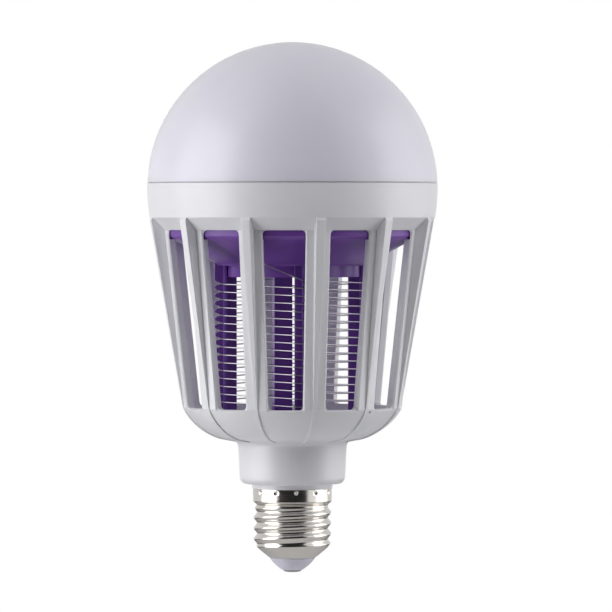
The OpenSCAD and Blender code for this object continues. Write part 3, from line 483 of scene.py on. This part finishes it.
def panel(name, turn, power, height=LAMP_MIDDLE, distance=PANEL_DISTANCE,
          width=PANEL_WIDTH, tall=PANEL_TALL, mirrored=True):
    """A soft rectangular light at a turn, facing the middle of the lamp."""
    light = bpy.data.lights.new(name, "AREA")
    light.shape = "RECTANGLE"
    light.size = width
    light.size_y = tall
    light.energy = power
    made = bpy.data.objects.new(name, light)
    made.visible_camera = False
    made.visible_glossy = mirrored
    made.location = around(turn, distance, height)
    aim(made, (0, 0, LAMP_MIDDLE))
    bpy.context.scene.collection.objects.link(made)


def lights():
    """Broad light from both sides, stronger on the left.

    Fill comes from high in front, from above and from behind, and doesn't show in gloss.
    """
    panel("left_main", turn=-62, power=3.9)
    panel("left_side", turn=-87, power=2.75)
    panel("right_front", turn=62, power=0.3)
    panel("right_main", turn=87, power=2.7)
    panel("right_back", turn=112, power=1.05)
    high = {"height": 0.55, "distance": 0.55, "width": 0.5, "tall": 0.4, "mirrored": False}
    panel("high_left", turn=-50, power=0.75, **high)
    panel("high_right", turn=50, power=1.7, **high)
    panel("top_soft", turn=0, power=0.2, height=0.85, distance=0.05, tall=0.6, mirrored=False)
    panel("back_fill", turn=180, power=2.4, height=0.35, width=0.6, mirrored=False)


def studio_world():
    """The room: white for the camera, and in gloss bright but for the sector behind the camera.

    On matt surfaces it throws no light. Only the panels light those.
    """
    world = bpy.data.worlds.new("studio")
    world.use_nodes = True
    tree = world.node_tree
    tree.nodes.clear()

    def node(kind, inputs=(), **settings):
        return add_node(tree, kind, inputs, **settings)

    def vector(operation, *values):
        return node("ShaderNodeVectorMath", enumerate(values), operation=operation)

    way = node("ShaderNodeTexCoord").outputs["Generated"]
    level = vector("MULTIPLY", way, (1, 1, 0)).outputs["Vector"]
    unit = vector("NORMALIZE", level).outputs["Vector"]
    to_camera = vector("DOT_PRODUCT", unit, (0, -1, 0)).outputs["Value"]
    edge_out, edge_in = DARK_SECTOR_EDGES
    gloss = node(
        "ShaderNodeMapRange",
        {
            "Value": to_camera,
            "From Min": edge_out,
            "From Max": edge_in,
            "To Min": GLOSS_ROOM,
            "To Max": GLOSS_DARK_SECTOR,
        },
        interpolation_type="SMOOTHSTEP",
    ).outputs["Result"]

    ray = node("ShaderNodeLightPath").outputs
    seen = node(
        "ShaderNodeMath", {0: ray["Is Camera Ray"], 1: ray["Is Transmission Ray"]}, operation="MAXIMUM"
    ).outputs["Value"]
    unlit = node("ShaderNodeBackground", {"Strength": 0.0}).outputs[0]
    shiny = node("ShaderNodeBackground", {"Color": (1, 1, 1, 1), "Strength": gloss}).outputs[0]
    white = node("ShaderNodeBackground", {"Color": (1, 1, 1, 1)}).outputs[0]
    unseen = node("ShaderNodeMixShader", {0: ray["Is Glossy Ray"], 1: unlit, 2: shiny}).outputs[0]
    room = node("ShaderNodeMixShader", {0: seen, 1: unseen, 2: white}).outputs[0]
    node("ShaderNodeOutputWorld", {"Surface": room})
    bpy.context.scene.world = world


def pale_floor():
    """A pale floor below the hung lamp, which keeps its shadow and fades to white far off."""
    half = FLOOR_SIZE / 2
    corners = [(-half, -half, 0), (half, -half, 0), (half, half, 0), (-half, half, 0)]
    mesh = bpy.data.meshes.new("floor")
    mesh.from_pydata(corners, [], [(0, 1, 2, 3)])
    floor = bpy.data.objects.new("floor", mesh)
    floor.location.z = -FLOOR_DROP
    f = Finish("floor_pale", Roughness=0.9, Emission_Color=(1, 1, 1, 1))
    f.colour(f.blend(f.spread(f.noise(FLOOR_LUMPS), 0, 1), *FLOOR_TINTS))
    away = f.node("ShaderNodeVectorMath", {0: f.place}, operation="LENGTH").outputs["Value"]
    glow = f.spread(away, *FLOOR_GLOW, *FLOOR_FADE)
    to_camera = f.node("ShaderNodeLightPath").outputs["Is Camera Ray"]
    seen = f.node("ShaderNodeMath", {0: glow, 1: to_camera}, operation="MULTIPLY")
    f.tree.links.new(seen.outputs["Value"], f.surface.inputs["Emission Strength"])
    mesh.materials.append(f.material)
    bpy.context.scene.collection.objects.link(floor)


def camera():
    """The photograph's camera."""
    data = bpy.data.cameras.new("camera")
    data.lens = CAMERA_LENS
    data.sensor_width = CAMERA_SENSOR
    made = bpy.data.objects.new("camera", data)
    made.location = CAMERA_AT
    aim(made, CAMERA_LOOKS_AT)
    bpy.context.scene.collection.objects.link(made)
    bpy.context.scene.camera = made


camera()
dress_nodes()
grid_wire("grid_wire_live", "live_wire")
grid_wire("grid_wire_return", "return_wire")
rolled_shell()
studio_world()
lights()
pale_floor()
bpy.context.scene.view_settings.view_transform = "Standard"
